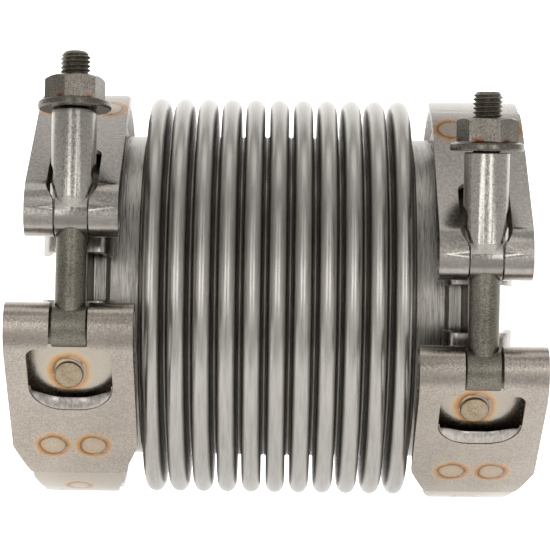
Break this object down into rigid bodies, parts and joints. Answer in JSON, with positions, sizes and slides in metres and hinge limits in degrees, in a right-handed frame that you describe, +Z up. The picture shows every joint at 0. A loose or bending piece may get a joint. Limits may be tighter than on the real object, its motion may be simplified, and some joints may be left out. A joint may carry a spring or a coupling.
{
  "type": "metal bellows expansion joint",
  "caption": "Short stainless bellows joint with a plain cuff, a V-band flange and a T-bolt clamp at each end, bolts upright on one side.",
  "frame": {"origin": "centre of the inlet flange's joint face, on the joint's axis", "axes": "+X along the joint's axis from inlet to outlet, T-bolts stand on the -Y side, +Z up along the bolts with the nuts on top"},
  "size_m": [0.1121, 0.104, 0.0959],
  "materials": {
    "bellows_steel": "satin hydroformed stainless steel",
    "cuff_steel": "turned stainless steel with fine rings",
    "flange_steel": "turned stainless steel",
    "liner_steel": "plain rolled stainless steel",
    "retainer_steel": "roll-formed stainless steel",
    "strap_steel": "bright rolled stainless steel",
    "bracket_steel": "tumbled stainless steel with heat tint at the spot welds",
    "bolt_steel": "dark grainy forged steel",
    "trunnion_steel": "polished formed steel",
    "nut_steel": "grey stainless steel with heat tint"
  },
  "bodies": {
    "root": {"inlet_cuff": "cuff_steel", "inlet_flange": "flange_steel", "flow_liner": "liner_steel"},
    "bellows_link_01": {"bellows_convolution_01": "bellows_steel"},
    "bellows_link_02": {"bellows_convolution_02": "bellows_steel"},
    "bellows_link_03": {"bellows_convolution_03": "bellows_steel"},
    "bellows_link_04": {"bellows_convolution_04": "bellows_steel"},
    "bellows_link_05": {"bellows_convolution_05": "bellows_steel"},
    "bellows_link_06": {"bellows_convolution_06": "bellows_steel"},
    "bellows_link_07": {"bellows_convolution_07": "bellows_steel"},
    "bellows_link_08": {"bellows_convolution_08": "bellows_steel"},
    "bellows_link_09": {"bellows_convolution_09": "bellows_steel"},
    "bellows_link_10": {"bellows_convolution_10": "bellows_steel"},
    "outlet_end": {"bellows_convolution_11": "bellows_steel", "outlet_cuff": "cuff_steel", "outlet_flange": "flange_steel"},
    "inlet_clamp": {"inlet_lower_retainer": "retainer_steel", "inlet_strap": "strap_steel", "inlet_lower_bracket": "bracket_steel"},
    "inlet_clamp_upper": {"inlet_upper_retainer": "retainer_steel", "inlet_upper_bracket": "bracket_steel"},
    "inlet_t_bolt_body": {"inlet_t_bolt": "bolt_steel"},
    "inlet_trunnion_body": {"inlet_trunnion": "trunnion_steel"},
    "inlet_nut_body": {"inlet_flange_nut": "nut_steel"},
    "outlet_clamp": {"outlet_lower_retainer": "retainer_steel", "outlet_strap": "strap_steel", "outlet_lower_bracket": "bracket_steel"},
    "outlet_clamp_upper": {"outlet_upper_retainer": "retainer_steel", "outlet_upper_bracket": "bracket_steel"},
    "outlet_t_bolt_body": {"outlet_t_bolt": "bolt_steel"},
    "outlet_trunnion_body": {"outlet_trunnion": "trunnion_steel"},
    "outlet_nut_body": {"outlet_flange_nut": "nut_steel"}
  },
  "joints": [
    {"name": "bellows_axial", "type": "slide", "parent": "root", "child": "bellows_link_01", "axis": [1, 0, 0], "range_m": [-0.0009, 0.0009], "stiffness_N_per_m": 30000, "deforming": ["bellows_convolution_01"]},
    {"name": "bellows_bend_inlet_half", "type": "hinge", "parent": "bellows_link_01", "child": "bellows_link_02", "pos_m": [0.02141, 0, 0], "axis": [0, 1, 0], "range_deg": [-1.2, 1.2], "stiffness_Nm_per_rad": 200, "deforming": ["bellows_convolution_02"]},
    {"name": "bellows_swing_inlet_half", "type": "hinge", "parent": "bellows_link_02", "child": "bellows_link_03", "pos_m": [0.02675, 0, 0], "axis": [0, 0, 1], "range_deg": [-1.2, 1.2], "stiffness_Nm_per_rad": 200, "deforming": ["bellows_convolution_03"]},
    {"name": "bellows_axial_2", "type": "slide", "parent": "bellows_link_03", "child": "bellows_link_04", "axis": [1, 0, 0], "range_m": [-0.0009, 0.0009], "deforming": ["bellows_convolution_04"]},
    {"name": "bellows_bend_inlet_half_2", "type": "hinge", "parent": "bellows_link_04", "child": "bellows_link_05", "pos_m": [0.03743, 0, 0], "axis": [0, 1, 0], "range_deg": [-1.2, 1.2], "deforming": ["bellows_convolution_05"]},
    {"name": "bellows_axial_3", "type": "slide", "parent": "bellows_link_05", "child": "bellows_link_06", "axis": [1, 0, 0], "range_m": [-0.0009, 0.0009], "deforming": ["bellows_convolution_06"]},
    {"name": "bellows_bend_outlet_half_2", "type": "hinge", "parent": "bellows_link_06", "child": "bellows_link_07", "pos_m": [0.04811, 0, 0], "axis": [0, 1, 0], "range_deg": [-1.2, 1.2], "deforming": ["bellows_convolution_07"]},
    {"name": "bellows_axial_4", "type": "slide", "parent": "bellows_link_07", "child": "bellows_link_08", "axis": [1, 0, 0], "range_m": [-0.0009, 0.0009], "deforming": ["bellows_convolution_08"]},
    {"name": "bellows_swing_outlet_half", "type": "hinge", "parent": "bellows_link_08", "child": "bellows_link_09", "pos_m": [0.05879, 0, 0], "axis": [0, 0, 1], "range_deg": [-1.2, 1.2], "stiffness_Nm_per_rad": 200, "deforming": ["bellows_convolution_09"]},
    {"name": "bellows_bend_outlet_half", "type": "hinge", "parent": "bellows_link_09", "child": "bellows_link_10", "pos_m": [0.06413, 0, 0], "axis": [0, 1, 0], "range_deg": [-1.2, 1.2], "stiffness_Nm_per_rad": 200, "deforming": ["bellows_convolution_10"]},
    {"name": "bellows_axial_5", "type": "slide", "parent": "bellows_link_10", "child": "outlet_end", "axis": [1, 0, 0], "range_m": [-0.0009, 0.0009], "deforming": ["bellows_convolution_11"]},
    {"name": "inlet_clamp_clocking", "type": "hinge", "parent": "root", "child": "inlet_clamp", "pos_m": [0, 0, 0], "axis": [1, 0, 0], "continuous": true},
    {"name": "inlet_clamp_opening", "type": "hinge", "parent": "inlet_clamp", "child": "inlet_clamp_upper", "pos_m": [0, 0.04311, -0.00453], "axis": [-1, 0, 0], "range_deg": [0, 5], "deforming": ["inlet_strap"]},
    {"name": "inlet_t_bolt_tilt", "type": "hinge", "parent": "inlet_clamp", "child": "inlet_t_bolt_body", "pos_m": [0, -0.05094, -0.00636], "axis": [-1, 0, 0], "range_deg": [0, 2.5]},
    {"name": "inlet_trunnion_tilt", "type": "hinge", "parent": "inlet_clamp_upper", "child": "inlet_trunnion_body", "pos_m": [0, -0.04851, 0.01681], "axis": [-1, 0, 0], "range_deg": [-2.5, 0]},
    {"name": "inlet_nut_turn", "type": "hinge", "parent": "inlet_trunnion_body", "child": "inlet_nut_body", "pos_m": [0, -0.04621, 0.03864], "axis": [0, 0.1045, 0.9945], "range_deg": [0, 3223.05]},
    {"name": "outlet_clamp_clocking", "type": "hinge", "parent": "outlet_end", "child": "outlet_clamp", "pos_m": [0.08554, 0, 0], "axis": [1, 0, 0], "continuous": true},
    {"name": "outlet_clamp_opening", "type": "hinge", "parent": "outlet_clamp", "child": "outlet_clamp_upper", "pos_m": [0.08554, 0.04329, 0.00227], "axis": [-1, 0, 0], "range_deg": [0, 5], "deforming": ["outlet_strap"]},
    {"name": "outlet_t_bolt_tilt", "type": "hinge", "parent": "outlet_clamp", "child": "outlet_t_bolt_body", "pos_m": [0.08554, -0.04932, -0.01425], "axis": [-1, 0, 0], "range_deg": [0, 2.5]},
    {"name": "outlet_trunnion_tilt", "type": "hinge", "parent": "outlet_clamp_upper", "child": "outlet_trunnion_body", "pos_m": [0.08554, -0.05054, 0.00902], "axis": [-1, 0, 0], "range_deg": [-2.5, 0]},
    {"name": "outlet_nut_turn", "type": "hinge", "parent": "outlet_trunnion_body", "child": "outlet_nut_body", "pos_m": [0.08554, -0.05169, 0.03094], "axis": [0, -0.0523, 0.9986], "range_deg": [0, 3223.05]}
  ],
  "couplings": [
    {"joint": "bellows_axial_2", "follows": "bellows_axial", "ratio": 1},
    {"joint": "bellows_bend_inlet_half_2", "follows": "bellows_bend_inlet_half", "ratio": 1},
    {"joint": "bellows_axial_3", "follows": "bellows_axial", "ratio": 1},
    {"joint": "bellows_bend_outlet_half_2", "follows": "bellows_bend_outlet_half", "ratio": 1},
    {"joint": "bellows_axial_4", "follows": "bellows_axial", "ratio": 1},
    {"joint": "bellows_axial_5", "follows": "bellows_axial", "ratio": 1},
    {"joint": "inlet_clamp_opening", "follows": "inlet_nut_turn", "ratio": 0.0015513},
    {"joint": "inlet_t_bolt_tilt", "follows": "inlet_nut_turn", "ratio": 0.00077566},
    {"joint": "inlet_trunnion_tilt", "follows": "inlet_nut_turn", "ratio": -0.00077566},
    {"joint": "outlet_clamp_opening", "follows": "outlet_nut_turn", "ratio": 0.0015513},
    {"joint": "outlet_t_bolt_tilt", "follows": "outlet_nut_turn", "ratio": 0.00077566},
    {"joint": "outlet_trunnion_tilt", "follows": "outlet_nut_turn", "ratio": -0.00077566}
  ]
}
